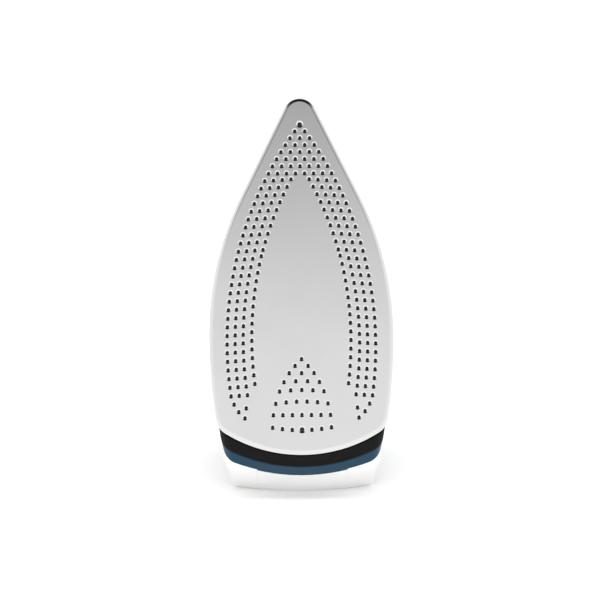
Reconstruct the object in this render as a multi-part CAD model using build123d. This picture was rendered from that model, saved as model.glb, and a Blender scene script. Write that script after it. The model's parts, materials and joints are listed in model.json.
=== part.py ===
"""Steam iron standing on its heel, in millimetres.

Every piece is drawn in the iron's own frame: X runs forward from the rear edge of the sole to
its tip, Y to the left and Z away from the sole face, which lies at Z = 0.  export_node() turns
the pieces into the exported frame, where the iron stands on its heel with +Z up.
"""
from build123d import *
import math
import os

os.makedirs("parts", exist_ok=True)

# ---- driving dimensions ----
LEAN = 15.0                 # the sole leans back from upright when the iron stands
SOLE_LENGTH = 228.8
SOLE_HALF_WIDTH = 57.5
SHEET = 1.2                 # stainless sheet of the soleplate
RIM_HEIGHT = 6.0
RIM_FILLET = 2.7
HOLE_RADIUS = 1.08
DIMPLE_RADIUS = 1.8
DIMPLE_DEPTH = 0.45
WALL = 2.4                  # moulded plastic walls
SKIRT_TOP = 20.0
BAND_TOP = 30.0
HULL_TOP = 75.0
TANK_REAR = 62.0            # the tank fills the hull forward of this
HEEL_AT_SOLE = -31.0        # where the floor plane meets the plane of the sole face
HEEL_REST_Z = 87.0          # middle of the patch that the iron stands on
HANDLE_HALF = 18.0
HANDLE_ROUND = 10.0
HANDLE_SPLIT = 119.0
HANDLE_WALL = 3.0
CROWN = 139.0               # flat top of the handle's nose, where the controls are
GAP = 0.3                   # clearance between pieces that move past each other
SEAM = 0.05                 # gap at a joint line between two fixed pieces

DIAL_X = 88.0
DIAL_RADIUS = 23.0
DIAL_BASE = 75.6
DIAL_HEIGHT = 6.5
PUMP_X = 147.0
PUMP_Y = 8.0
PUMP_RADIUS = 5.0
PUMP_TOP = 116.0
BUTTON_RADIUS = 6.0
BUTTON_RISE = 4.2           # the button above the crown
BUTTON_FOOT = CROWN - 5.4
ROD_X = 158.0
ROD_RADIUS = 1.5
ROD_TOP = 127.0
SLIDER_X = 165.0
FUNNEL_X = 172.0
FUNNEL_RADIUS = 6.0
SWIVEL_X = 24.0
SWIVEL_Z = 131.0
SWIVEL_RADIUS = 8.5
CLEAN_X = 34.0
CLEAN_Z = 38.0
CLEAN_RADIUS = 5.5

HEEL_SLOPE = math.tan(math.radians(LEAN))


def polar(centre, radius, degrees):
    angle = math.radians(degrees)
    return (centre[0] + radius * math.cos(angle), centre[1] + radius * math.sin(angle))


def arc(centre, radius, start, end):
    middle = (start + end) / 2
    return ThreePointArc(*(polar(centre, radius, a) for a in (start, middle, end)))


def outline(nose_x, nose_r, half_w, wide_x, side_r, back_r, corner_r, rear_x, rear_r):
    """Plan of the iron as a face: a round nose, straight flanks, bowed sides and a bowed rear."""
    nose = (nose_x - nose_r, 0.0)
    side = (wide_x, half_w - side_r)
    back = (wide_x, half_w - back_r)
    rear = (rear_x + rear_r, 0.0)
    span = math.dist(nose, side)
    bearing = math.degrees(math.atan2(side[1] - nose[1], side[0] - nose[0]))
    flank = bearing - math.degrees(math.acos((nose_r - side_r) / span))
    flank = (flank + 180) % 360 - 180
    near, far = back_r - corner_r, rear_r - corner_r
    run = math.dist(back, rear)
    along = (near ** 2 - far ** 2 + run ** 2) / (2 * run)
    across = math.sqrt(near ** 2 - along ** 2)
    ux, uy = (rear[0] - back[0]) / run, (rear[1] - back[1]) / run
    corner = min(
        (
            (back[0] + along * ux - sign * across * uy, back[1] + along * uy + sign * across * ux)
            for sign in (1, -1)
        ),
        key=lambda point: point[0],
    )
    turn_1 = math.degrees(math.atan2(corner[1] - back[1], corner[0] - back[0]))
    turn_2 = math.degrees(math.atan2(corner[1] - rear[1], corner[0] - rear[0]))
    left = [
        Line(polar(nose, nose_r, flank), polar(side, side_r, flank)),
        arc(side, side_r, flank, 90),
        arc(back, back_r, 90, turn_1),
        arc(corner, corner_r, turn_1, turn_2),
    ]
    right = [edge.mirror(Plane.XZ) for edge in reversed(left)]
    return Face(Wire([
        arc(nose, nose_r, -flank, flank),
        *left,
        arc(rear, rear_r, turn_2, 360 - turn_2),
        *right,
    ]))


def sole_outline(inset=0.0):
    return outline(
        SOLE_LENGTH - inset, 10.75 - min(inset, 8), SOLE_HALF_WIDTH - inset, 77.0, 200.0 - inset,
        350.0 - inset, 13.0 - min(inset, 9), inset, 90.0 - inset,
    )


# height, nose_x, nose_r, half_w, wide_x, side_r, back_r, corner_r, rear_x, rear_r
HULL_LEVELS = [
    (3.0, 222.5, 9.0, 55.0, 77.0, 200.0, 514.0, 13.0, 0.6, 92.0),
    (SKIRT_TOP, 219.5, 10.0, 54.2, 70.0, 200.0, 540.0, 12.5, -5.6, 104.0),
    (BAND_TOP, 214.0, 11.5, 53.2, 65.0, 195.0, 490.0, 11.5, -9.8, 124.0),
    (46.4, 199.0, 14.0, 51.2, 50.0, 190.0, 430.0, 9.5, -18.6, 124.0),
    (60.0, 178.0, 16.0, 49.2, 34.0, 172.0, 420.0, 8.5, -22.4, 124.0),
    (70.0, 154.0, 18.0, 47.2, 16.0, 158.0, 500.0, 8.5, -24.0, 124.0),
    (HULL_TOP, 138.0, 16.0, 40.5, 14.0, 148.0, 450.0, 8.5, -22.0, 120.0),
]


def hull_level(height, inset):
    """Plan face of the hull at one height, drawn in from its outside by the inset."""
    lower = max(row for row in HULL_LEVELS if row[0] <= height + 1e-6)
    upper = min((row for row in HULL_LEVELS if row[0] > height + 1e-6), default=lower)
    part = (height - lower[0]) / (upper[0] - lower[0]) if upper is not lower else 0.0
    row = [low + part * (high - low) for low, high in zip(lower, upper)]
    shift = (0, -inset, -inset, -inset, 0, -inset, -inset, -inset, inset, -inset)
    values = [value + change for value, change in zip(row, shift)]
    return Pos(0, 0, height) * outline(*values[1:])


def hull(bottom, top, inset=0.0):
    """The lower hull between two heights, straight between its levels."""
    inside = [row[0] for row in HULL_LEVELS if bottom + 0.5 < row[0] < top - 0.5]
    faces = [hull_level(height, inset) for height in (bottom, *inside, top)]
    solid = loft(faces[:2], ruled=True)
    for lower, upper in zip(faces[1:], faces[2:]):
        solid += loft([lower, upper], ruled=True)
    return solid


def upper_hull(inset=0.0):
    """The hull above the band, one smooth surface; its top also moves in by the inset."""
    heights = [row[0] for row in HULL_LEVELS if row[0] >= BAND_TOP]
    faces = [hull_level(height, inset) for height in heights]
    return loft(faces[:-1] + [Pos(0, 0, -inset) * faces[-1]])


def block(x0, x1, y0, y1, z0, z1):
    centre = Pos((x0 + x1) / 2, (y0 + y1) / 2, (z0 + z1) / 2)
    return centre * Box(x1 - x0, y1 - y0, z1 - z0)


def post(x, y, z0, z1, radius):
    """Round bar standing along Z."""
    return Pos(x, y, (z0 + z1) / 2) * Cylinder(radius, z1 - z0)


def pipe(x, y, z0, z1, radius, bore):
    return post(x, y, z0, z1, radius) - post(x, y, z0 - 1, z1 + 1, bore)


def bar_y(x, z, y0, y1, radius):
    """Round bar lying along Y."""
    return Pos(x, (y0 + y1) / 2, z) * Rot(90, 0, 0) * Cylinder(radius, y1 - y0)


def profile(points, radii, half_width):
    """Side-view outline in X and Z, its corners rounded, made as wide as needed along Y."""
    path = FilletPolyline(*points, points[0], radius=radii, close=True)
    face = Plane.XZ * make_face(path)
    return extrude(face, half_width, both=True)


def heel_side(offset=0.0):
    """Everything behind the floor plane, moved forward by the offset."""
    plane = Plane(
        origin=(HEEL_AT_SOLE, 0, 0),
        x_dir=(0, 1, 0),
        z_dir=(math.cos(math.radians(LEAN)), 0, -math.sin(math.radians(LEAN))),
    )
    return plane.location * Pos(0, 0, offset - 100) * Box(400, 600, 200)


TURN = Plane(
    origin=(0, 0, 0),
    x_dir=(0, math.sin(math.radians(LEAN)), math.cos(math.radians(LEAN))),
    z_dir=(0, math.cos(math.radians(LEAN)), -math.sin(math.radians(LEAN))),
).location
REST = Vector(HEEL_AT_SOLE + HEEL_SLOPE * HEEL_REST_Z, 0, HEEL_REST_Z)
TO_ROW = TURN * Pos(-REST.X, 0, -REST.Z)


def export_node(name, shape):
    solids = shape.solids()
    whole = solids[0] if len(solids) == 1 else Compound(children=list(solids))
    export_step(TO_ROW * whole, f"parts/{name}.step")
    print(f"{name:26s} solids {len(solids):3d} volume {whole.volume:10.1f} valid {whole.is_valid}")


# ---- sole ----
COLUMN_PITCH = 5.425
ROW_PITCH = 5.0
APEX_X = 211.0
APEX_HEADING = 36.5
HEADING_STEP = 1.32
TRIANGLE_ROWS = 8
COLUMN_LAST = 34


def outer_column():
    """Hole places on the left outer column: even steps on a path that turns evenly."""
    x, y = APEX_X, 0.0
    places = [(x, y)]
    for step in range(COLUMN_LAST):
        heading = math.radians(APEX_HEADING - HEADING_STEP * (step + 0.5))
        x -= COLUMN_PITCH * math.cos(heading)
        y += COLUMN_PITCH * math.sin(heading)
        places.append((x, y))
    return places


def left_holes():
    """Holes with Y > 0, and the ones on the centre line."""
    column = outer_column()
    places = []
    for row, (x, y) in enumerate(column[:TRIANGLE_ROWS]):
        places += [(x, y * (row - 2 * i) / row) for i in range(row // 2 + 1)] if row else [(x, y)]
    for row, (x, y) in enumerate(column[TRIANGLE_ROWS:], TRIANGLE_ROWS):
        heading = math.radians(APEX_HEADING - HEADING_STEP * row)
        pitch = ROW_PITCH / math.cos(heading)
        deep = 4 if row < 18 else 3
        places += [(x + 0.35 * i, y - pitch * i) for i in range(deep)]
        if 18 <= row < COLUMN_LAST:
            places.append((x + 2.3, y - 2 * pitch - 5.35))
    places += [(31.5, 41.8), (29.1, 34.3), (26.8, 38.9), (22.9, 35.1)]
    rear_rows = [
        (59.5, 1, 0.0, 0.0), (55.3, 2, 4.05, 0.0), (50.8, 3, 7.7, 0.0), (45.8, 4, 10.95, -0.6),
        (40.3, 5, 13.7, -0.9), (33.1, 6, 16.1, -1.3), (24.7, 7, 17.6, 0.0), (15.4, 7, 18.1, 1.6),
    ]
    for x, count, half, bow in rear_rows:
        for i in range((count + 1) // 2):
            part = 1 - 2 * i / (count - 1) if count > 1 else 0.0
            places.append((x + bow * part ** 2, half * part))
    return places


def steam_holes():
    """Every hole of the sole as (x, y, scale)."""
    holes = []
    for x, y in left_holes():
        large = abs(y) < 0.01 and (x > APEX_X - 1 or x < 16)
        scale = 1.35 if large else 1.0
        holes.append((x, y, scale))
        if y > 0.01:
            holes.append((x, -y, scale))
    return holes


def soleplate():
    """Pressed tray of stainless sheet with a rolled edge, dimpled round each steam hole."""
    tray = extrude(sole_outline(), RIM_HEIGHT)
    tray = fillet(tray.faces().sort_by(Axis.Z)[0].edges(), RIM_FILLET)
    tray -= Pos(0, 0, SHEET) * extrude(sole_outline(SHEET), RIM_HEIGHT)
    cutters = []
    for x, y, scale in steam_holes():
        cutters.append(post(x, y, -1, SHEET + 1, HOLE_RADIUS * scale))
        dimple = Cone(DIMPLE_RADIUS * scale, HOLE_RADIUS * scale, DIMPLE_DEPTH)
        cutters.append(Pos(x, y, DIMPLE_DEPTH / 2) * dimple)
    return tray - cutters


HEATER_Z = 6.6
HEATER_RADIUS = 3.2
HEATER_LEGS = 27.0          # half the distance between the legs of the U
HEATER_REAR = 22.0
HEATER_BEND_X = 150.0


def heater_tube(radius):
    """U-shaped round bar along the heater's centre line."""
    rear_left = (HEATER_REAR, HEATER_LEGS, HEATER_Z)
    front_left = (HEATER_BEND_X, HEATER_LEGS, HEATER_Z)
    tip = (HEATER_BEND_X + HEATER_LEGS, 0, HEATER_Z)
    front_right = (HEATER_BEND_X, -HEATER_LEGS, HEATER_Z)
    rear_right = (HEATER_REAR, -HEATER_LEGS, HEATER_Z)
    bend = ThreePointArc(front_left, tip, front_right)
    path = Wire([Line(rear_left, front_left), bend, Line(front_right, rear_right)])
    return sweep(Plane(origin=rear_left, z_dir=(1, 0, 0)) * Circle(radius), path=path)


def heating_element():
    """U-shaped tubular element lying in the casting."""
    return heater_tube(HEATER_RADIUS)


CASTING_TOP = 11.0
CHAMBER_REAR = 96.0
CHAMBER_FRONT = 167.0
CHAMBER_HALF = 16.0
CHAMBER_FLOOR = 6.5
LID_MARGIN = 3.0
LID_BOTTOM = 11.9
LID_TOP = 13.4


def chamber(bottom, top, margin=0.0):
    """Block over the steam chamber, wider than it by the margin."""
    half = CHAMBER_HALF + margin
    return block(CHAMBER_REAR - margin, CHAMBER_FRONT + margin, -half, half, bottom, top)


SHIELD_SCREWS = [(30.0, 12.0), (30.0, -12.0), (188.0, 0.0)]


def sole_casting():
    """Aluminium casting behind the sheet: steam spaces below and above, the heater between."""
    body = Pos(0, 0, SHEET + 0.05) * extrude(sole_outline(1.6), RIM_HEIGHT - SHEET - 0.2)
    body += Pos(0, 0, 5.0) * extrude(sole_outline(11.0), CASTING_TOP - 5.0)
    body -= Pos(0, 0, SHEET) * extrude(sole_outline(9.0) - block(70, 96, -12, 12, -1, 1), 1.3)
    body -= chamber(CHAMBER_FLOOR, CASTING_TOP + 1)
    body -= heater_tube(HEATER_RADIUS + SEAM)
    body -= [post(110 + 16 * i, y, 0, 8, 2.0) for i in range(4) for y in (-12, 12)]
    body -= [post(x, y, 5, 12, 1.6) for x, y in SHIELD_SCREWS]
    body -= [block(8, 22, y - 4, y + 4, 5.85, 12) for y in (-HEATER_LEGS, HEATER_LEGS)]
    return body


def chamber_gasket():
    return chamber(CASTING_TOP + SEAM, LID_BOTTOM - SEAM, LID_MARGIN) - chamber(CASTING_TOP, LID_BOTTOM)


def steam_chamber_cover():
    """Lid of the steam chamber, with the seat hole under the valve."""
    lid = chamber(LID_BOTTOM, LID_TOP, LID_MARGIN)
    return lid - post(ROD_X, 0, LID_BOTTOM - 1, LID_TOP + 1, 3.2)


def cover_screws():
    screws = []
    for x in (CHAMBER_REAR - 1, CHAMBER_FRONT + 1):
        for y in (-CHAMBER_HALF - 1, CHAMBER_HALF + 1):
            screws.append(post(x, y, LID_TOP + 0.1, LID_TOP + 1.7, 1.4))
    return Compound(children=screws)


# ---- skirt, band and hull ----
SHIELD_BOTTOM = 17.2
SHIELD_TOP = 18.8


def skirt():
    """Heat-resistant ring between the sole and the coloured band."""
    ring = hull(RIM_HEIGHT + 0.1, SKIRT_TOP) - hull(RIM_HEIGHT - 0.1, SKIRT_TOP + 0.2, WALL)
    return ring


def heat_shield():
    """Plate across the skirt that carries the works above the hot casting."""
    plate = hull(SHIELD_BOTTOM, SHIELD_TOP, WALL + 0.3)
    plate -= post(ROD_X, 0, 10, 25, 6.2)
    plate -= post(DIAL_X, 0, 10, 25, 4.0)
    plate -= [block(12, 24, y - 5, y + 5, 10, 25) for y in (-HEATER_LEGS, HEATER_LEGS)]
    plate -= [post(x, y, 10, 25, 1.7) for x, y in SHIELD_SCREWS]
    return plate


def shield_screws():
    screws = []
    for x, y in SHIELD_SCREWS:
        seat = SHIELD_TOP + SEAM
        screws.append(post(x, y, 6.5, seat, 1.5) + post(x, y, seat, 21.5, 3.0))
    return Compound(children=screws)


GROOVE_DEPTH = 0.5
GROOVE_HEIGHT = 1.3
TAB_DROP = 0.8
COVER_HALF = 28.5
COVER_TOP = 66.0
COVER_SEAM = 0.06


def trim_band():
    """Coloured band: a shallow groove above, and a tab over the heel cover below."""
    tab_end = BAND_TOP + TAB_DROP
    ring = hull(SKIRT_TOP + SEAM, tab_end)
    ring -= slab(BAND_TOP - SEAM, tab_end + 1) - tab_space()
    ring -= slab(SKIRT_TOP, SKIRT_TOP + GROOVE_HEIGHT) - hull(SKIRT_TOP - 1, BAND_TOP, GROOVE_DEPTH)
    return ring - hull(SKIRT_TOP - 1, BAND_TOP + 2, WALL)


def slab(bottom, top):
    """Everything between two heights."""
    return block(-100, 300, -100, 100, bottom, top)


def tab_space():
    return block(-60, 20, -COVER_HALF, COVER_HALF, 0, 100)


def fill_hole():
    return post(FUNNEL_X, 0, 40, 90, FUNNEL_RADIUS)


def water_tank():
    """Clear tank in the front of the hull, with sleeves for the dial shaft and the valve rod."""
    outside = upper_hull() & block(TANK_REAR, 300, -80, 80, 0, 100)
    inside = upper_hull(WALL) & block(TANK_REAR + WALL, 300, -80, 80, BAND_TOP + WALL, 100)
    tank = outside - inside
    tank += post(DIAL_X, 0, BAND_TOP + 1, HULL_TOP - 1, 7.0)
    tank += post(ROD_X, 0, BAND_TOP + 1, HULL_TOP, 6.0) & upper_hull(0.5)
    tank -= post(DIAL_X, 0, 0, 100, 4.6)
    tank -= post(ROD_X, 0, 0, 100, 4.2)
    tank -= [post(PUMP_X, y, 60, 100, 1.65) for y in button_places().values()]
    tank -= fill_hole()
    tank -= nozzle_bore()
    return tank


def body_shell():
    """Rear of the hull, which ends in the flat heel that the iron stands on."""
    outside = upper_hull() & block(-60, TANK_REAR - 0.1, -80, 80, 0, 100)
    outside -= heel_side()
    inside = upper_hull(WALL) & block(-60, TANK_REAR - 2.5, -80, 80, 0, 100)
    inside -= heel_side(WALL)
    shell = outside - inside
    shell -= heel_cover_space()
    shell -= bar_y(CLEAN_X, CLEAN_Z, 30, 70, CLEAN_RADIUS + GAP)
    shell -= block(8, 30, -12, 12, HULL_TOP - 6, HULL_TOP + 2)
    return shell


def heel_cover_space():
    half = COVER_HALF + COVER_SEAM
    return block(-60, 20, -half, half, BAND_TOP - 1, COVER_TOP + COVER_SEAM)


def heel_cover():
    """Removable cover in the middle of the heel, over the terminals."""
    wall = upper_hull() - heel_side()
    wall -= upper_hull(WALL) - heel_side(WALL)
    return wall & block(-60, 6, -COVER_HALF, COVER_HALF, BAND_TOP + TAB_DROP + 0.05, COVER_TOP)


# ---- handle ----
HANDLE_POINTS = [(-70, 0), (-70, 131), (10, 141), (110, CROWN), (178, CROWN), (189, 116), (193, 0)]
HANDLE_ROUNDS = [12, 12, 150, 150, 14, 14, 12]
HANDLE_FOOT = 50.0
GAP_POINTS = [(38, 40), (41, 101), (54, 110), (118, 109), (134, 100), (143, 40)]
GAP_ROUND = [2, 12, 16, 16, 14, 2]


def round_sides(solid, radius):
    """Rounds the edges of both flat sides of a handle profile."""
    edges = [edge for face in solid.faces().filter_by(Axis.Y) for edge in face.edges()]
    return fillet(edges, radius)


def handle_outside():
    """The closed handle with its finger gap, before it is split into its mouldings."""
    solid = profile(HANDLE_POINTS, HANDLE_ROUNDS, HANDLE_HALF)
    solid -= profile(GAP_POINTS, GAP_ROUND, HANDLE_HALF + 5)
    solid = round_sides(solid, HANDLE_ROUND)
    return (solid - heel_side()) & block(-80, 300, -40, 40, HANDLE_FOOT, 200)


def handle_cavity():
    """Room inside the handle."""
    wall = HANDLE_WALL
    outer = [(-70, 0), (-70, 131 - wall), (10, 141 - wall), (110, CROWN - wall),
             (176, CROWN - wall), (186, 115), (190, 0)]
    finger = [(38 - wall, 20), (41 - wall, 103), (53, 113), (119, 112), (136.5, 102), (147, 20)]
    room = profile(outer, [12, 12, 150, 150, 11, 11, 12], HANDLE_HALF - wall)
    room -= profile(finger, [2, 14, 18, 18, 16, 2], HANDLE_HALF + 5)
    return round_sides(room, HANDLE_ROUND - wall - 0.5) - heel_side(wall)


def front_plane(height, lift=0.0):
    """Plane on the sloping front of the handle at a height, facing forward."""
    foot, top = HANDLE_POINTS[6], HANDLE_POINTS[5]
    part = (height - foot[1]) / (top[1] - foot[1])
    slope = Vector(top[0] - foot[0], 0, top[1] - foot[1]).normalized()
    normal = Vector(slope.Z, 0, -slope.X)
    origin = Vector(foot[0] + part * (top[0] - foot[0]), 0, height) + normal * lift
    return Plane(origin=origin, x_dir=(0, 1, 0), z_dir=normal)


DOOR_Z = 93.0
DOOR_WIDTH = 20.0
DOOR_LENGTH = 24.0
DOOR_THICK = 2.2


def door_opening():
    frame = front_plane(DOOR_Z).location
    recess = frame * Pos(0, 0, -DOOR_THICK / 2 + 5) * Box(
        DOOR_WIDTH + 0.6, DOOR_LENGTH + 0.6, DOOR_THICK + 10.6)
    mouth = frame * Pos(0, 1, -3) * Box(14, 17, 12)
    return recess, mouth


def button_places():
    return {"steam": -PUMP_Y, "spray": PUMP_Y}


def handle_shells():
    """The lower moulding with the finger gap, and the cover that carries the controls."""
    shell = handle_outside()
    shell -= upper_hull(-0.05)
    shell -= handle_cavity()
    for cut in door_opening():
        shell -= cut
    shell -= swivel_space()
    lower = shell & block(-80, 300, -40, 40, 0, HANDLE_SPLIT - 0.05)
    upper = shell & block(-80, 300, -40, 40, HANDLE_SPLIT + 0.05, 200)
    for y in button_places().values():
        upper -= post(PUMP_X, y, CROWN - 10, CROWN + 5, BUTTON_RADIUS + GAP)
    upper -= block(SLIDER_X - 9, SLIDER_X + 5.5, -2.4, 2.4, CROWN - 10, CROWN + 5)
    upper -= grip_recess()
    upper -= lens_bore()
    return biggest(lower), biggest(upper)


def biggest(shape):
    return max(shape.solids(), key=lambda solid: solid.volume)


def grip_recess(margin=0.0):
    """Room for the pad in the crown of the handle."""
    return block(50 + margin, 112 - margin, -9 + margin, 9 - margin, CROWN - 1.4 + margin, CROWN + 5)


def handle_grip():
    """Soft pad let into the top of the handle bar."""
    return biggest(handle_outside() & grip_recess(0.2))


# ---- controls ----
LENS_X = 126.0


def lens_bore():
    return post(LENS_X, 0, CROWN - 8, CROWN + 5, 2.5)


def pilot_lens():
    return post(LENS_X, 0, CROWN - 5, CROWN + 0.6, 2.4)


def pilot_lamp():
    return post(LENS_X, 0, CROWN - 13, CROWN - 5.1, 1.8)


def press_button(y):
    """Thumb button with the lugs, fore and aft, that keep it in the cover."""
    cap = post(PUMP_X, y, BUTTON_FOOT, CROWN + BUTTON_RISE, BUTTON_RADIUS)
    cap = fillet(cap.edges().sort_by(Axis.Z)[-1], 1.4)
    lugs = post(PUMP_X, y, BUTTON_FOOT, BUTTON_FOOT + 1.8, BUTTON_RADIUS + 0.7)
    return cap + (lugs & block(PUMP_X - 10, PUMP_X + 10, y - 2.5, y + 2.5, 0, CROWN))


def piston(y):
    head = post(PUMP_X, y, 105, 108, PUMP_RADIUS - 1.25)
    return head + post(PUMP_X, y, 108, BUTTON_FOOT, 1.3)


def pump_cylinder(y):
    """Open-topped cylinder with a spigot for its riser."""
    body = post(PUMP_X, y, 93, PUMP_TOP, PUMP_RADIUS)
    body -= post(PUMP_X, y, 95, PUMP_TOP + 1, PUMP_RADIUS - 1.2)
    body += post(PUMP_X, y, 87, 93, 2.0)
    return body - post(PUMP_X, y, 86, 96, 1.1)


def pump_bracket():
    """Bridge across the handle that holds both pump cylinders."""
    plate = block(PUMP_X - 5.6, PUMP_X + 6.5, -14.4, 14.4, 98, 100)
    for y in button_places().values():
        plate -= post(PUMP_X, y, 96, 102, PUMP_RADIUS)
    return plate


def coil_spring(x, y, z0, z1, radius, turns, wire=0.35):
    path = Pos(x, y, z0 + wire) * Helix((z1 - z0 - 2 * wire) / turns, z1 - z0 - 2 * wire, radius)
    section = Plane(origin=path @ 0, z_dir=path % 0) * Circle(wire)
    return sweep(section, path=path)


def button_spring(y):
    """Coil between a pump cylinder and its button."""
    return coil_spring(PUMP_X, y, PUMP_TOP + 0.1, BUTTON_FOOT - 0.1, 4.2, 6)


def valve_spring():
    """Coil that lifts the valve rod against the slider."""
    return coil_spring(ROD_X, 0, 72.1, ROD_TOP - 0.1, 2.3, 12)


def steam_slider():
    """Slide on the handle's nose that sets the amount of steam."""
    base = CROWN + 0.4
    thumb = block(SLIDER_X - 7, SLIDER_X + 2.5, -7.5, 7.5, base, base + 2.6)
    for i in range(4):
        ridge = SLIDER_X - 6 + 2.2 * i
        thumb += block(ridge, ridge + 1.1, -6, 6, base + 2, base + 3.6)
    return thumb + block(SLIDER_X - 6, SLIDER_X - 2, -2.1, 2.1, CROWN - 7.5, base + 0.2)


def valve_rod():
    """Rod from the slider down to the steam chamber, tapered where it closes the seat."""
    rod = post(ROD_X, 0, 15.6, ROD_TOP, ROD_RADIUS)
    tip = Pos(ROD_X, 0, 14.6) * Cone(0.5, ROD_RADIUS, 2.0)
    return rod + tip + post(ROD_X, 0, ROD_TOP, ROD_TOP + 1.5, 3.0)


def valve_seat():
    """Bush in the chamber lid that the tapered rod closes."""
    bush = post(ROD_X, 0, 13.45, 19, 5.5) + post(ROD_X, 0, 10.5, 13.45, 3.1)
    bush -= post(ROD_X, 0, 15.6, 20, 2.2)
    bush -= post(ROD_X, 0, 9, 14.2, 0.9)
    bush -= Pos(ROD_X, 0, 14.9) * Cone(0.9, 2.2, 1.6)
    return bush


def valve_guide():
    """Bush in the tank's sleeve that guides the rod."""
    return pipe(ROD_X, 0, 56, 72, 4.15, ROD_RADIUS + 0.06)


def dial_skirt_teeth(count=36):
    step = 360 / count
    return [
        Pos(DIAL_X, 0, DIAL_BASE + DIAL_HEIGHT / 2)
        * Rot(0, 0, i * step)
        * Pos(DIAL_RADIUS + 0.35, 0, 0)
        * Cylinder(0.8, DIAL_HEIGHT + 1)
        for i in range(count)
    ]


def temperature_dial():
    """Thermostat dial under the handle, with its shaft."""
    disc = post(DIAL_X, 0, DIAL_BASE, DIAL_BASE + DIAL_HEIGHT, DIAL_RADIUS)
    disc = chamfer(disc.edges().sort_by(Axis.Z)[-1], 1.2)
    disc -= dial_skirt_teeth()
    disc -= post(DIAL_X, 0, DIAL_BASE - 1, DIAL_BASE + 3, DIAL_RADIUS - 3) - post(DIAL_X, 0, 70, 80, 5)
    return disc


def dial_shaft():
    return post(DIAL_X, 0, 27.0, DIAL_BASE - 0.02, 3.0)


def thermostat():
    """Switch with its blades, under the dial shaft."""
    base = block(DIAL_X - 14, DIAL_X + 14, -9, 9, 19.0, 22.0)
    tower = pipe(DIAL_X, 0, 22.0, 26.5, 5.0, 3.1)
    return base + tower


def bimetal_strip():
    return block(DIAL_X - 13, DIAL_X + 3, 9.6, 13.6, 11.2, 12.0) + block(
        DIAL_X - 13, DIAL_X - 11, 9.6, 13.6, 12.0, 17.0)


FUSE_X = 60.0
FUSE_Z = 13.2
FUSE_RADIUS = 2.0


def fuse_bar(radius, length):
    return Pos(FUSE_X, 0, FUSE_Z) * Rot(0, 90, 0) * Cylinder(radius, length)


def thermal_fuse():
    return fuse_bar(FUSE_RADIUS, 16)


def fuse_clip():
    """Clip that holds the fuse against the casting, open below."""
    bore = FUSE_RADIUS + 0.02
    clip = block(FUSE_X - 3, FUSE_X + 3, -4, 4, CASTING_TOP + SEAM, 15.9) - fuse_bar(bore, 20)
    return clip - block(FUSE_X - 10, FUSE_X + 10, -bore, bore, CASTING_TOP - 1, FUSE_Z)


def element_terminals():
    pins = []
    for y in (-HEATER_LEGS, HEATER_LEGS):
        pins.append(block(16, 21.9, y - 2.5, y + 2.5, HEATER_Z - 0.5, HEATER_Z + 0.5)
                    + block(16, 17, y - 2.5, y + 2.5, HEATER_Z + 0.5, 26))
    return Compound(children=pins)


TERMINAL_X = 13.0
TERMINAL_PLACES = (-9.0, 0.0, 9.0)


def terminal_block():
    """Three-way block where the supply lead would end."""
    body = block(4, 22, -14, 14, 34, 44)
    for y in TERMINAL_PLACES:
        body -= post(TERMINAL_X, y, 38, 45, 2.2)
        body -= Pos(TERMINAL_X, y, 39) * Rot(0, 90, 0) * Cylinder(1.6, 30)
    return body


def terminal_screws():
    return Compound(children=[post(TERMINAL_X, y, 40.8, 44.6, 2.1) for y in TERMINAL_PLACES])


def terminal_stand():
    """Foot between the heat shield and the terminal block."""
    return block(4, 22, -6, 6, SHIELD_TOP + SEAM, 34 - SEAM)


def fill_funnel():
    """Inlet that leads from the door in the handle's front down into the tank."""
    tube = pipe(FUNNEL_X, 0, 52, 78, FUNNEL_RADIUS - 0.2, FUNNEL_RADIUS - 1.4)
    cup = block(FUNNEL_X - 8, FUNNEL_X + 30, -9, 9, 78, 104)
    cup -= block(FUNNEL_X - 6.6, FUNNEL_X + 32, -7.6, 7.6, 79.5, 102.6)
    cup -= post(FUNNEL_X, 0, 70, 90, FUNNEL_RADIUS - 1.4)
    recess, mouth = door_opening()
    return tube + (cup & handle_cavity()) - mouth - recess


def door_hinge(radius, length):
    """Round bar along the hinge line at the foot of the door."""
    place = Pos(0, 1.3 - DOOR_LENGTH / 2, -1.2) * Rot(0, 90, 0)
    return front_plane(DOOR_Z).location * place * Cylinder(radius, length)


def fill_door():
    """Door over the filling mouth, with a lip to open it by and its hinge knuckle."""
    frame = front_plane(DOOR_Z).location
    panel = frame * Pos(0, 0.65, -DOOR_THICK / 2) * Box(DOOR_WIDTH, DOOR_LENGTH - 1.3, DOOR_THICK)
    lip = frame * Pos(0, DOOR_LENGTH / 2 - 1.5, 0.6) * Box(DOOR_WIDTH - 6, 2.0, 1.3)
    return panel + lip + door_hinge(1.2, DOOR_WIDTH - 6) - door_hinge(0.65, DOOR_WIDTH + 4)


def door_pin():
    return door_hinge(0.6, DOOR_WIDTH + 0.5)


NOZZLE_Z = 46.0


def nozzle_frame():
    return Pos(196.5, 0, NOZZLE_Z) * Rot(0, 60, 0)


def nozzle_bore():
    return nozzle_frame() * Cylinder(3.1, 16)


def spray_nozzle():
    """Nozzle in the nose of the tank, pointing forward and down to the cloth."""
    return nozzle_frame() * (Pos(0, 0, 1) * Cylinder(3.0, 10) - Pos(0, 0, 3) * Cylinder(0.6, 12))


def nozzle_ring():
    return nozzle_frame() * Pos(0, 0, 5.3) * (Cylinder(4.4, 1.6) - Cylinder(3.05, 3))


def water_pipe(y):
    """Riser from the tank to one pump."""
    return pipe(PUMP_X, y, 40, 86.9, 1.6, 0.9)


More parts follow.
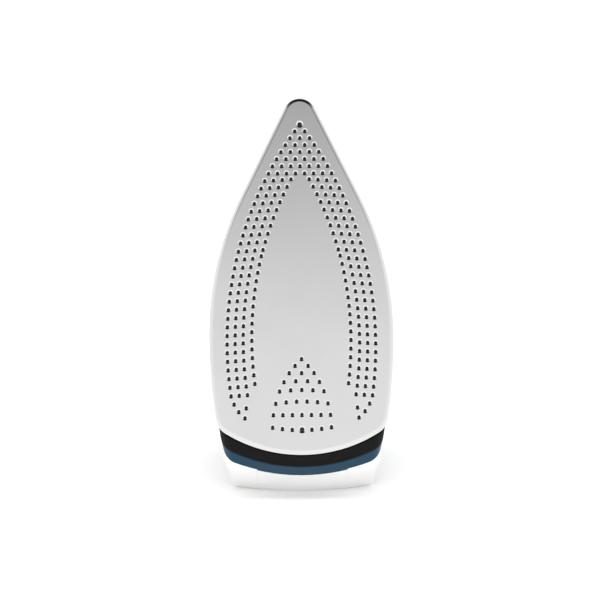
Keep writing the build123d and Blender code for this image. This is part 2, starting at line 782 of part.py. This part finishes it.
def clean_button():
    """Self-clean button in the right side of the hull."""
    face_y = 49.5
    cap = bar_y(CLEAN_X, CLEAN_Z, 38, face_y + 3.5, CLEAN_RADIUS)
    cap = fillet(cap.edges().sort_by(Axis.Y)[-1], 1.2)
    return cap + bar_y(CLEAN_X, CLEAN_Z, 36.5, 38, CLEAN_RADIUS + 1.5)


def clean_spring():
    """Coil that pushes the self-clean button out."""
    return Pos(CLEAN_X, 0, CLEAN_Z) * Rot(-90, 0, 0) * coil_spring(0, 0, 25.6, 36.4, 4.4, 4)


def clean_guide():
    """Cup behind the self-clean button that holds its spring."""
    cup = bar_y(CLEAN_X, CLEAN_Z, 24, 36, CLEAN_RADIUS + 2.6)
    return cup - bar_y(CLEAN_X, CLEAN_Z, 25.5, 37, CLEAN_RADIUS + 1.8)


# ---- cord inlet ----
SWIVEL_HALF = 9.0
CORD_BORE = 3.6


def swivel_space():
    """Room for the swivel and for its neck as it swings fore and aft."""
    room = bar_y(SWIVEL_X, SWIVEL_Z, -SWIVEL_HALF - GAP, SWIVEL_HALF + GAP, SWIVEL_RADIUS + GAP)
    for angle in (-14, 0, 17, 34):
        neck = Pos(SWIVEL_X, 0, SWIVEL_Z) * Rot(0, angle, 0) * Pos(0, 0, 15) * Box(12.6, 12.6, 30)
        room += neck
    return room


def cord_swivel():
    """Drum with a hollow neck where the supply cord enters; it swings with the cord."""
    drum = bar_y(SWIVEL_X, SWIVEL_Z, -SWIVEL_HALF, SWIVEL_HALF, SWIVEL_RADIUS)
    drum += post(SWIVEL_X, 0, SWIVEL_Z + 2, SWIVEL_Z + 22, 5.6)
    drum -= post(SWIVEL_X, 0, SWIVEL_Z - 12, SWIVEL_Z + 30, CORD_BORE)
    for side in (-1, 1):
        drum -= bar_y(SWIVEL_X, SWIVEL_Z, *sorted((side * 5.9, side * 12)), 2.05)
    return drum


def swivel_pins():
    """Stub pins on both sides of the drum."""
    pin = bar_y(SWIVEL_X, SWIVEL_Z, 6.0, 14.5, 2.0)
    return Compound(children=[pin, pin.mirror(Plane.XZ)])


def main():
    export_node("soleplate", soleplate())
    export_node("sole_casting", sole_casting())
    export_node("heating_element", heating_element())
    export_node("element_terminals", element_terminals())
    export_node("chamber_gasket", chamber_gasket())
    export_node("steam_chamber_cover", steam_chamber_cover())
    export_node("cover_screws", cover_screws())
    export_node("thermal_fuse", thermal_fuse())
    export_node("fuse_clip", fuse_clip())
    export_node("bimetal_strip", bimetal_strip())
    export_node("thermostat", thermostat())
    export_node("skirt", skirt())
    export_node("heat_shield", heat_shield())
    export_node("shield_screws", shield_screws())
    export_node("trim_band", trim_band())
    export_node("water_tank", water_tank())
    export_node("body_shell", body_shell())
    export_node("heel_cover", heel_cover())
    lower, upper = handle_shells()
    export_node("handle_lower", lower)
    export_node("handle_cover", upper)
    export_node("handle_grip", handle_grip())
    export_node("temperature_dial", temperature_dial())
    export_node("dial_shaft", dial_shaft())
    export_node("pilot_lens", pilot_lens())
    export_node("pilot_lamp", pilot_lamp())
    for name, y in button_places().items():
        export_node(f"{name}_button", press_button(y))
        export_node(f"{name}_piston", piston(y))
        export_node(f"{name}_pump_cylinder", pump_cylinder(y))
        export_node(f"{name}_button_spring", button_spring(y))
        export_node(f"{name}_pump_pipe", water_pipe(y))
    export_node("pump_bracket", pump_bracket())
    export_node("steam_slider", steam_slider())
    export_node("valve_rod", valve_rod())
    export_node("valve_seat", valve_seat())
    export_node("valve_guide", valve_guide())
    export_node("valve_spring", valve_spring())
    export_node("fill_funnel", fill_funnel())
    export_node("fill_door", fill_door())
    export_node("door_pin", door_pin())
    export_node("spray_nozzle", spray_nozzle())
    export_node("nozzle_ring", nozzle_ring())
    export_node("clean_button", clean_button())
    export_node("clean_spring", clean_spring())
    export_node("clean_guide", clean_guide())
    export_node("terminal_block", terminal_block())
    export_node("terminal_screws", terminal_screws())
    export_node("terminal_stand", terminal_stand())
    export_node("cord_swivel", cord_swivel())
    export_node("swivel_pins", swivel_pins())


main()
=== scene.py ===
import json
import math

import bmesh
import bpy
from mathutils import Matrix, Vector
from mathutils.bvhtree import BVHTree


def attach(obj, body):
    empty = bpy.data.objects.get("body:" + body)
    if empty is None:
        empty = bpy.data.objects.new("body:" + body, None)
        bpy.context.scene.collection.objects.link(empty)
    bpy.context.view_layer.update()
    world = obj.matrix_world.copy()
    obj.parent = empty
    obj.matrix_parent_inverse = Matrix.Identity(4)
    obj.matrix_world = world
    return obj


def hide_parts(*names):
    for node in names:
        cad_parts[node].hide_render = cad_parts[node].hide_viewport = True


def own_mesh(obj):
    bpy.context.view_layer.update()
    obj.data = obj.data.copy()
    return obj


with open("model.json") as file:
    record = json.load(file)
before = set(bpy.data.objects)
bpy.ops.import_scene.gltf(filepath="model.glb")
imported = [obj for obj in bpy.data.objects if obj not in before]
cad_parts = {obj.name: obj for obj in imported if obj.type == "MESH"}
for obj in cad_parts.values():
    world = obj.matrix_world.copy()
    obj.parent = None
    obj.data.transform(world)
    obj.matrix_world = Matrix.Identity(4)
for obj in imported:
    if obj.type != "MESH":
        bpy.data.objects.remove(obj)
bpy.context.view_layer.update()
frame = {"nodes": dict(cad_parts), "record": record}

# ---- driving values ----
LEAN = math.radians(15)             # the sole leans back by this much
HEEL_AT_SOLE = -0.031               # as in the CAD: floor plane against the sole plane
HEEL_REST_Z = 0.087
SIGHT_ELEVATION = math.radians(4)   # the camera looks slightly down
SIGHT_DISTANCE = 0.950
SIGHT_ALONG_SOLE = 0.0965           # the point of the sole that the camera aims at
SIGHT_SIDE = -0.00066
CAMERA_ROLL = math.radians(0.45)
LENS = 91.2
SENSOR = 36.0
FLOOR_SIZE = 40.0

REST_X = HEEL_AT_SOLE + math.tan(LEAN) * HEEL_REST_Z


def row(x, y, z):
    """Point of the iron's own frame (sole down, metres) in the exported frame."""
    along, up = x - REST_X, z - HEEL_REST_Z
    return Vector((y, along * math.sin(LEAN) + up * math.cos(LEAN),
                   along * math.cos(LEAN) - up * math.sin(LEAN)))


def iron_matrix(x, y, z):
    """Placement whose local X runs to the nose and local Z away from the sole."""
    turn = Matrix((
        (0, 1, 0),
        (math.sin(LEAN), 0, math.cos(LEAN)),
        (math.cos(LEAN), 0, -math.sin(LEAN)),
    )).to_4x4()
    return Matrix.Translation(row(x, y, z)) @ turn


# ---- materials ----
class Shader:
    """Small helper that builds one Principled material out of noise, bump and ramps."""

    def __init__(self, name, base, roughness, metallic=0.0):
        self.material = bpy.data.materials.new(name)
        self.material.use_nodes = True
        self.nodes = self.material.node_tree.nodes
        self.links = self.material.node_tree.links
        self.bsdf = self.nodes["Principled BSDF"]
        self.bsdf.inputs["Base Color"].default_value = (*base, 1)
        self.bsdf.inputs["Roughness"].default_value = roughness
        self.bsdf.inputs["Metallic"].default_value = metallic
        self.base = base
        self.roughness = roughness
        coordinates = self.nodes.new("ShaderNodeTexCoord")
        self.object_space = coordinates.outputs["Object"]
        self.last_bump = None

    def mapped(self, stretch=(1, 1, 1), tilt=0.0):
        mapping = self.nodes.new("ShaderNodeMapping")
        mapping.inputs["Scale"].default_value = stretch
        mapping.inputs["Rotation"].default_value = (tilt, 0, 0)
        self.links.new(self.object_space, mapping.inputs["Vector"])
        return mapping.outputs["Vector"]

    def noise(self, scale, detail=3.0, stretch=(1, 1, 1), tilt=0.0):
        texture = self.nodes.new("ShaderNodeTexNoise")
        texture.inputs["Scale"].default_value = scale
        texture.inputs["Detail"].default_value = detail
        self.links.new(self.mapped(stretch, tilt), texture.inputs["Vector"])
        return texture.outputs["Fac"]

    def cells(self, scale):
        texture = self.nodes.new("ShaderNodeTexVoronoi")
        texture.inputs["Scale"].default_value = scale
        self.links.new(self.mapped(), texture.inputs["Vector"])
        return texture.outputs["Distance"]

    def ranged(self, value, low, high):
        node = self.nodes.new("ShaderNodeMapRange")
        node.inputs["From Min"].default_value = 0.3
        node.inputs["From Max"].default_value = 0.7
        node.inputs["To Min"].default_value = low
        node.inputs["To Max"].default_value = high
        self.links.new(value, node.inputs["Value"])
        return node.outputs["Result"]

    def vary_roughness(self, value, spread):
        result = self.ranged(value, self.roughness - spread, self.roughness + spread)
        self.links.new(result, self.bsdf.inputs["Roughness"])

    def vary_colour(self, value, spread):
        ramp = self.nodes.new("ShaderNodeValToRGB")
        ramp.color_ramp.elements[0].position = 0.3
        ramp.color_ramp.elements[1].position = 0.7
        ramp.color_ramp.elements[0].color = (*(c * (1 - spread) for c in self.base), 1)
        ramp.color_ramp.elements[1].color = (*(min(c * (1 + spread), 1) for c in self.base), 1)
        self.links.new(value, ramp.inputs["Fac"])
        self.links.new(ramp.outputs["Color"], self.bsdf.inputs["Base Color"])

    def bump(self, value, strength, depth):
        node = self.nodes.new("ShaderNodeBump")
        node.inputs["Strength"].default_value = strength
        node.inputs["Distance"].default_value = depth
        self.links.new(value, node.inputs["Height"])
        if self.last_bump:
            self.links.new(self.last_bump, node.inputs["Normal"])
        self.last_bump = node.outputs["Normal"]
        self.links.new(self.last_bump, self.bsdf.inputs["Normal"])

    def set(self, **inputs):
        for name, value in inputs.items():
            self.bsdf.inputs[name.replace("_", " ")].default_value = value
        return self


def polished_steel():
    shader = Shader("polished_steel", (0.805, 0.805, 0.805), 0.15, 1.0)
    shader.vary_roughness(shader.noise(35, 4), 0.025)
    shader.vary_colour(shader.noise(14, 3), 0.015)
    shader.bump(shader.noise(900, 2, (1, 1, 0.04), LEAN), 0.05, 0.00002)
    return shader.material


def bare_metal(name, base, roughness, grain):
    shader = Shader(name, base, roughness, 1.0)
    shader.vary_roughness(shader.noise(grain, 4), 0.08)
    shader.vary_colour(shader.noise(grain / 4, 3), 0.06)
    shader.bump(shader.noise(grain * 2, 3), 0.15, 0.0001)
    return shader.material


def moulded(name, base, roughness, texture, bump, coat=0.0, specular=0.5):
    shader = Shader(name, base, roughness)
    shader.vary_colour(shader.noise(9, 4), 0.025)
    shader.vary_roughness(shader.noise(60, 4), 0.04)
    shader.bump(shader.noise(texture, 2), bump, 0.00006)
    shader.set(Coat_Weight=coat, Coat_Roughness=0.08, Specular_IOR_Level=specular)
    return shader.material


def soft_rubber(name, base):
    shader = Shader(name, base, 0.62)
    shader.vary_colour(shader.noise(20, 4), 0.08)
    shader.bump(shader.cells(420), 0.5, 0.0002)
    return shader.material


def clear_blue():
    shader = Shader("clear_blue", (0.36, 0.60, 0.76), 0.06)
    shader.vary_colour(shader.noise(12, 3), 0.04)
    shader.vary_roughness(shader.noise(80, 3), 0.02)
    shader.bump(shader.noise(30, 2), 0.06, 0.0003)
    shader.set(Transmission_Weight=0.88, IOR=1.49)
    return shader.material


MATERIALS = {
    "stainless": polished_steel(),
    "cast_alloy": bare_metal("cast_alloy", (0.5, 0.5, 0.51), 0.5, 300),
    "element_steel": bare_metal("element_steel", (0.3, 0.29, 0.28), 0.45, 200),
    "screw_steel": bare_metal("screw_steel", (0.55, 0.55, 0.56), 0.4, 400),
    "spring_steel": bare_metal("spring_steel", (0.6, 0.6, 0.61), 0.4, 500),
    "brass_pins": bare_metal("brass_pins", (0.72, 0.53, 0.22), 0.4, 300),
    "silicone": soft_rubber("silicone", (0.55, 0.13, 0.08)),
    "grey_rubber": soft_rubber("grey_rubber", (0.05, 0.06, 0.075)),
    "black_plastic": moulded("black_plastic", (0.006, 0.006, 0.0065), 0.55, 1500, 0.2, specular=0.02),
    "blue_plastic": moulded("blue_plastic", (0.008, 0.043, 0.083), 0.40, 700, 0.05, 0.03, 0.09),
    "tank_blue": clear_blue(),
    "white_plastic": moulded("white_plastic", (0.86, 0.86, 0.85), 0.37, 700, 0.05, 0.1),
    "blue_control": moulded("blue_control", (0.055, 0.14, 0.24), 0.42, 900, 0.10),
    "amber_lens": moulded("amber_lens", (0.75, 0.20, 0.02), 0.15, 300, 0.04, 0.5),
    "ceramic_base": moulded("ceramic_base", (0.72, 0.69, 0.62), 0.6, 500, 0.2),
    "grey_plastic": moulded("grey_plastic", (0.22, 0.23, 0.245), 0.4, 900, 0.12),
}

# painted shade: the sole casting is darkened to near black, so the steam holes and gaps that show it read
# as shaded
SPECIAL = {"sole_casting": bare_metal("casting_painted_shade", (0.10, 0.10, 0.10), 0.6, 300)}

for entry in frame["record"]["subparts"]:
    node = frame["nodes"][entry["node"]]
    node.data.materials.clear()
    node.data.materials.append(SPECIAL.get(entry["node"], MATERIALS[entry["material_slot"]]))


# ---- raised marks ----
SINK = 0.00015                       # marks start this far inside the surface they stand on
DRAFT = 0.80                         # size of a mark's top against its foot
MARK_HEIGHT = 0.00035
DIAL_CENTRE = (0.088, 0.0)
DIAL_TOP = 0.0821
DIAL_MARK_RADIUS = 0.0165
DIAL_STEP = math.radians(38)
CROWN = 0.139
BUTTON_TOP = 0.1432
PUMP_X = 0.147
PUMP_Y = 0.008
DOT_RADIUS = 0.0011
DOT_PITCH = 0.0034
SCALE_START = 0.1570                 # rear end of the steam scale beside the slider
SCALE_PITCH = 0.0028
SCALE_BAR = 0.0012
SCALE_SIDE = 0.0088
SPRAY_RING = 0.0022
SPRAY_DOT = 0.0005
LEVELS = 7
LEVEL_X = 0.098
LEVEL_START = 0.036
LEVEL_PITCH = 0.0042
LEVEL_LONG = 0.006
LEVEL_SHORT = 0.0035
RIBS = 22
RIB_START = 0.0530
RIB_PITCH = 0.0026
OUTSIDE_Y = 0.09                     # rays at the surface start out here, clear of the iron
OUTSIDE_Z = 0.16


TO_NOSE = row(1, 0, 0) - row(0, 0, 0)
AWAY_FROM_SOLE = row(0, 0, 1) - row(0, 0, 0)


def disc(x, y, radius, sides=20):
    steps = [2 * math.pi * i / sides for i in range(sides)]
    return [(x + radius * math.cos(a), y + radius * math.sin(a)) for a in steps]


def bar(x0, x1, y0, y1):
    return [(x0, y0), (x1, y0), (x1, y1), (x0, y1)]


def relief(name, marks, body, slot):
    """One mesh of low marks, each an outline raised with drafted sides on its own placement."""
    shape = bmesh.new()
    for placement, outline in marks:
        centre = Vector((sum(p[0] for p in outline), sum(p[1] for p in outline))) / len(outline)
        foot, top = [], []
        for point in outline:
            foot.append(shape.verts.new(placement @ Vector((*point, -SINK))))
            drawn = centre + (Vector(point) - centre) * DRAFT
            top.append(shape.verts.new(placement @ Vector((*drawn, MARK_HEIGHT))))
        shape.faces.new(top)
        shape.faces.new(foot[::-1])
        for i in range(len(outline)):
            j = (i + 1) % len(outline)
            shape.faces.new((foot[i], foot[j], top[j], top[i]))
    bmesh.ops.recalc_face_normals(shape, faces=shape.faces)
    mesh = bpy.data.meshes.new(name)
    shape.to_mesh(mesh)
    shape.free()
    piece = bpy.data.objects.new(name, mesh)
    bpy.context.scene.collection.objects.link(piece)
    mesh.materials.append(MATERIALS[slot])
    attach(piece, body)


def dial_marks():
    """One, two and three dots for the heat settings, and a bar for off."""
    top = iron_matrix(*DIAL_CENTRE, DIAL_TOP)
    marks = []
    for setting in range(4):
        turned = top @ Matrix.Rotation(setting * DIAL_STEP, 4, "Z")
        if setting == 0:
            marks.append((turned, bar(DIAL_MARK_RADIUS - 0.002, DIAL_MARK_RADIUS + 0.002, -0.0005, 0.0005)))
        for i in range(setting):
            offset = (i - (setting - 1) / 2) * DOT_PITCH
            marks.append((turned, disc(DIAL_MARK_RADIUS, offset, DOT_RADIUS)))
    relief("dial_marks", marks, "dial", "white_plastic")


def steam_scale():
    """Wedge beside the slider that widens towards more steam."""
    crown = iron_matrix(0, 0, CROWN)
    marks = []
    for i in range(5):
        start = SCALE_START + SCALE_PITCH * i
        marks.append((crown, bar(start, start + SCALE_BAR, SCALE_SIDE, SCALE_SIDE + 0.001 + 0.0006 * i)))
    relief("steam_scale", marks, "base", "blue_control")


def button_symbols():
    """Three bars for the steam button, a ring of drops for the spray button."""
    steam = iron_matrix(PUMP_X, -PUMP_Y, BUTTON_TOP)
    bars = [(steam, bar(-0.0022, 0.0022, y - 0.0003, y + 0.0003)) for y in (-0.0014, 0, 0.0014)]
    relief("steam_symbol", bars, "steam_push", "blue_control")
    spray = iron_matrix(PUMP_X, PUMP_Y, BUTTON_TOP)
    spots = [(0, 0), *disc(0, 0, SPRAY_RING, 5)]
    drops = [(spray, disc(x, y, SPRAY_DOT, 12)) for x, y in spots]
    relief("spray_symbol", drops, "spray_push", "blue_control")


def surface_frame(tree, start, direction, along):
    """Placement on a surface where a ray meets it: Z outwards, X as near as it can be to along."""
    place, normal, _, _ = tree.ray_cast(start, direction)
    if normal.dot(direction) > 0:
        normal = -normal
    x_axis = (along - normal * along.dot(normal)).normalized()
    y_axis = normal.cross(x_axis)
    turn = Matrix((x_axis, y_axis, normal)).transposed().to_4x4()
    return Matrix.Translation(place) @ turn


def node_tree(name):
    mesh = frame["nodes"][name].data
    return BVHTree.FromPolygons([v.co for v in mesh.vertices], [p.vertices for p in mesh.polygons])


def grip_ribs():
    """Ribs across the soft pad of the handle."""
    tree = node_tree("handle_grip")
    marks = []
    for i in range(RIBS):
        start = row(RIB_START + RIB_PITCH * i, 0, OUTSIDE_Z)
        placement = surface_frame(tree, start, -AWAY_FROM_SOLE, TO_NOSE)
        marks.append((placement, bar(-0.0007, 0.0007, -0.0072, 0.0072)))
    relief("grip_ribs", marks, "base", "grey_rubber")


def level_marks():
    """Water level lines on both flanks of the tank, every third one longer."""
    tree = node_tree("water_tank")
    marks = []
    for side in (-1, 1):
        for i in range(LEVELS):
            start = row(LEVEL_X, side * OUTSIDE_Y, LEVEL_START + LEVEL_PITCH * i)
            placement = surface_frame(tree, start, Vector((-side, 0, 0)), TO_NOSE)
            half = LEVEL_LONG if i % 3 == 0 else LEVEL_SHORT
            marks.append((placement, bar(-half, half, -0.00035, 0.00035)))
    relief("level_marks", marks, "base", "white_plastic")


def shortening_spring(node):
    """Copy of a coil that stands for the CAD one, which is hidden."""
    piece = bpy.data.objects.new(node + "_coil", frame["nodes"][node].data.copy())
    bpy.context.scene.collection.objects.link(piece)
    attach(piece, "base")
    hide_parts(node)
    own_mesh(piece)


def springs():
    for name, side in (("steam", -1), ("spray", 1)):
        shortening_spring(f"{name}_button_spring")
    shortening_spring("clean_spring")


dial_marks()
steam_scale()
button_symbols()
level_marks()
grip_ribs()
springs()


# ---- camera ----
def make_camera():
    data = bpy.data.cameras.new("view_camera")
    data.lens = LENS
    data.sensor_width = SENSOR
    data.clip_start = 0.01
    camera = bpy.data.objects.new("view_camera", data)
    bpy.context.scene.collection.objects.link(camera)
    back = Vector((0, -math.cos(SIGHT_ELEVATION), math.sin(SIGHT_ELEVATION)))
    aim = row(SIGHT_ALONG_SOLE, SIGHT_SIDE, 0)
    turn = (-back).to_track_quat("-Z", "Y").to_matrix().to_4x4()
    roll = Matrix.Rotation(-CAMERA_ROLL, 4, "Z")
    camera.matrix_world = Matrix.Translation(aim + back * SIGHT_DISTANCE) @ turn @ roll
    bpy.context.scene.camera = camera


# ---- stage and light ----
SKY = [                              # height of the reflected ray, brightness of the room there
    (0.00, 1.00), (0.34, 0.92), (0.41, 0.92), (0.46, 0.76), (0.50, 0.61), (0.54, 0.50),
    (0.57, 0.41), (0.68, 0.12), (0.80, 0.01),
]
SIDE_LIFT = 0.45                     # the room stays bright far to the left and right
BACKDROP = 1.05
ROOM_FILL = 0.62                     # how much of the room's light reaches matt surfaces
SEEN_FLOOR = 1.08                    # brightness of the floor as the metal reflects it


def make_world():
    """White backdrop for the camera; for everything else a room that darkens overhead."""
    world = bpy.data.worlds.new("studio")
    world.use_nodes = True
    nodes, links = world.node_tree.nodes, world.node_tree.links
    nodes.clear()
    coordinates = nodes.new("ShaderNodeTexCoord")
    split = nodes.new("ShaderNodeSeparateXYZ")
    square = nodes.new("ShaderNodeMath")
    square.operation = "MULTIPLY"
    lower = nodes.new("ShaderNodeMath")
    lower.operation = "MULTIPLY_ADD"
    lower.inputs[1].default_value = -SIDE_LIFT
    ramp = nodes.new("ShaderNodeValToRGB")
    elements = ramp.color_ramp.elements
    for position, level in SKY[1:-1]:
        elements.new(position)
    for element, (position, level) in zip(elements, SKY):
        element.position = position
        element.color = (level, level, level, 1)
    room = nodes.new("ShaderNodeBackground")
    backdrop = nodes.new("ShaderNodeBackground")
    backdrop.inputs["Color"].default_value = (1, 1, 1, 1)
    backdrop.inputs["Strength"].default_value = BACKDROP
    path = nodes.new("ShaderNodeLightPath")
    dimmed = nodes.new("ShaderNodeMath")
    dimmed.operation = "MULTIPLY_ADD"
    dimmed.inputs[1].default_value = ROOM_FILL - 1
    dimmed.inputs[2].default_value = 1.0
    mix = nodes.new("ShaderNodeMixShader")
    output = nodes.new("ShaderNodeOutputWorld")
    links.new(coordinates.outputs["Generated"], split.inputs["Vector"])
    links.new(split.outputs["X"], square.inputs[0])
    links.new(split.outputs["X"], square.inputs[1])
    links.new(square.outputs["Value"], lower.inputs[0])
    links.new(split.outputs["Z"], lower.inputs[2])
    links.new(lower.outputs["Value"], ramp.inputs["Fac"])
    links.new(ramp.outputs["Color"], room.inputs["Color"])
    links.new(path.outputs["Is Diffuse Ray"], dimmed.inputs[0])
    links.new(dimmed.outputs["Value"], room.inputs["Strength"])
    links.new(path.outputs["Is Camera Ray"], mix.inputs["Fac"])
    links.new(room.outputs["Background"], mix.inputs[1])
    links.new(backdrop.outputs["Background"], mix.inputs[2])
    links.new(mix.outputs["Shader"], output.inputs["Surface"])
    bpy.context.scene.world = world


def make_floor():
    """Plain white floor, with a brightness of its own where polished metal mirrors it."""
    half = FLOOR_SIZE / 2
    mesh = bpy.data.meshes.new("studio_floor")
    corners = [(-half, -half, 0), (half, -half, 0), (half, half, 0), (-half, half, 0)]
    mesh.from_pydata(corners, [], [(0, 1, 2, 3)])
    floor = bpy.data.objects.new("studio_floor", mesh)
    bpy.context.scene.collection.objects.link(floor)
    shader = Shader("floor_white", (0.95, 0.95, 0.95), 0.9)
    shader.vary_colour(shader.noise(3, 2), 0.004)
    shader.set(Specular_IOR_Level=0.0)
    nodes, links = shader.nodes, shader.links
    mirrored = nodes.new("ShaderNodeEmission")
    mirrored.inputs["Color"].default_value = (SEEN_FLOOR, SEEN_FLOOR, SEEN_FLOOR, 1)
    path = nodes.new("ShaderNodeLightPath")
    mix = nodes.new("ShaderNodeMixShader")
    links.new(path.outputs["Is Glossy Ray"], mix.inputs["Fac"])
    links.new(shader.bsdf.outputs["BSDF"], mix.inputs[1])
    links.new(mirrored.outputs["Emission"], mix.inputs[2])
    links.new(mix.outputs["Shader"], nodes["Material Output"].inputs["Surface"])
    mesh.materials.append(shader.material)


def add_light(name, kind, place, target, power):
    data = bpy.data.lights.new(name, kind)
    data.energy = power
    light = bpy.data.objects.new(name, data)
    bpy.context.scene.collection.objects.link(light)
    toward = (Vector(target) - Vector(place)).to_track_quat("-Z", "Y")
    light.matrix_world = Matrix.Translation(place) @ toward.to_matrix().to_4x4()
    light.visible_glossy = False
    light.visible_camera = False
    return data


def softbox(name, place, target, size, power):
    data = add_light(name, "AREA", place, target, power)
    data.shape = "RECTANGLE"
    data.size, data.size_y = size


def make_lights():
    overhead = add_light("overhead", "SUN", (0, -0.46, 1.0), (0, 0, 0), 3.35)
    overhead.angle = math.radians(60)
    softbox("front_box", (0, -2.2, 0.7), (0, 0, 0.05), (2.0, 1.0), 17)
    bpy.context.scene.view_settings.view_transform = "Standard"


make_camera()
make_world()
make_floor()
make_lights()
